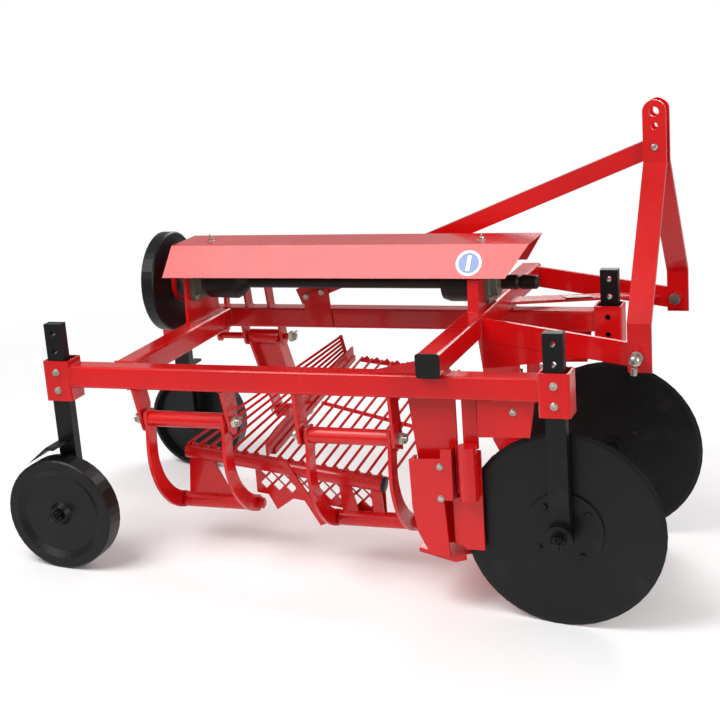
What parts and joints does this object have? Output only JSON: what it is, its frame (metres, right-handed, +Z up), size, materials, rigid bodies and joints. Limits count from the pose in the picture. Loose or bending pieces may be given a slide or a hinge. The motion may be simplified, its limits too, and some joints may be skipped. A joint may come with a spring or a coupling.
{
  "type": "tractor-mounted vibrating potato digger",
  "caption": "Offset three-point-hitch potato digger: toothed share blade, side-shaking rod sieve on swinging hangers, PTO shaft with flywheel, side cutting discs and gauge wheels.",
  "frame": {"origin": "centre of the bounding box on the ground", "axes": "+X forwards to the tractor, +Y to the machine's left, +Z up"},
  "size_m": [1.7646, 1.1844, 1.2458],
  "materials": {
    "red_enamel": "glossy",
    "black_paint": "satin",
    "black_plastic": "matte",
    "zinc_steel": "zinc plated",
    "cast_iron": "painted grey-green"
  },
  "bodies": {
    "frame": {"right_beam": "red_enamel", "left_beam": "red_enamel", "front_cross_tube": "red_enamel", "rear_cross_tube": "red_enamel", "tube_cap": "black_plastic", "right_front_leg": "black_paint", "left_front_leg": "black_paint", "right_rear_leg": "black_paint", "left_rear_leg": "black_paint", "right_link_bar": "red_enamel", "left_link_bar": "red_enamel", "right_mast_strap": "red_enamel", "left_mast_strap": "red_enamel", "right_hitch_pin": "zinc_steel", "left_hitch_pin": "zinc_steel", "mast_brace": "red_enamel", "diagonal_strut": "red_enamel", "front_post": "red_enamel", "rear_bearing_plate": "red_enamel", "front_bearing": "cast_iron", "rear_bearing": "cast_iron", "shaft_guard": "black_plastic", "drive_guard": "red_enamel", "right_rear_lugs": "red_enamel", "right_front_lugs": "red_enamel", "right_share_bracket": "red_enamel", "left_share_bracket": "red_enamel", "right_share_leg": "red_enamel", "left_share_leg": "red_enamel", "share_blade": "red_enamel"},
    "right_wheel": {"right_wheel": "black_paint"},
    "left_wheel": {"left_wheel": "black_paint"},
    "right_disc": {"right_disc": "black_paint"},
    "left_disc": {"left_disc": "black_paint"},
    "drive": {"drive_shaft": "zinc_steel", "pto_cap": "black_plastic", "flywheel": "black_paint"},
    "right_rear_hanger": {"right_rear_hanger": "red_enamel"},
    "right_front_hanger": {"right_front_hanger": "red_enamel"},
    "left_hanger": {"left_hanger": "red_enamel"},
    "connecting_rod": {"connecting_rod": "red_enamel"},
    "sieve": {"side_rail": "red_enamel", "front_grid": "red_enamel", "rear_grid": "red_enamel", "step_plate": "red_enamel", "side_lattice": "red_enamel"}
  },
  "joints": [
    {"name": "right_wheel", "type": "hinge", "parent": "frame", "child": "right_wheel", "pos_m": [-0.72776, -0.53925, 0.15464], "axis": [0, 1, 0], "continuous": true},
    {"name": "left_wheel", "type": "hinge", "parent": "frame", "child": "left_wheel", "pos_m": [-0.72776, 0.30515, 0.15464], "axis": [0, 1, 0], "continuous": true},
    {"name": "right_disc", "type": "hinge", "parent": "frame", "child": "right_disc", "pos_m": [0.62865, -0.43925, 0.25364], "axis": [0, 1, 0], "continuous": true},
    {"name": "left_disc", "type": "hinge", "parent": "frame", "child": "left_disc", "pos_m": [0.62865, 0.20515, 0.25364], "axis": [0, 1, 0], "continuous": true},
    {"name": "drive", "type": "hinge", "parent": "frame", "child": "drive", "pos_m": [-0.04096, 0.04145, 0.72289], "axis": [0.997, 0, 0.0779], "continuous": true},
    {"name": "right_front_hanger", "type": "hinge", "parent": "frame", "child": "right_front_hanger", "pos_m": [0.0636, -0.43855, 0.43115], "axis": [0.997, 0, 0.0779], "range_deg": [-3, 3]},
    {"name": "right_rear_hanger", "type": "hinge", "parent": "frame", "child": "right_rear_hanger", "pos_m": [-0.40466, -0.43855, 0.42264], "axis": [0.997, 0, 0.0779], "range_deg": [-3, 3]},
    {"name": "left_hanger", "type": "hinge", "parent": "frame", "child": "left_hanger", "pos_m": [-0.46029, 0.23645, 0.47346], "axis": [0.997, 0, 0.0779], "range_deg": [-3, 3]},
    {"name": "sieve", "type": "hinge", "parent": "right_front_hanger", "child": "sieve", "pos_m": [0.08581, -0.28855, 0.14702], "axis": [0.997, 0, 0.0779], "range_deg": [-3, 3]},
    {"name": "connecting_rod", "type": "hinge", "parent": "left_hanger", "child": "connecting_rod", "pos_m": [-0.63994, 0.31645, 0.64799], "axis": [0.997, 0, 0.0779], "range_deg": [-3, 3]}
  ],
  "couplings": [
    {"joint": "right_rear_hanger", "follows": "right_front_hanger", "ratio": 1},
    {"joint": "left_hanger", "follows": "right_front_hanger", "ratio": 1},
    {"joint": "sieve", "follows": "right_front_hanger", "ratio": -1},
    {"joint": "connecting_rod", "follows": "right_front_hanger", "ratio": -1}
  ]
}
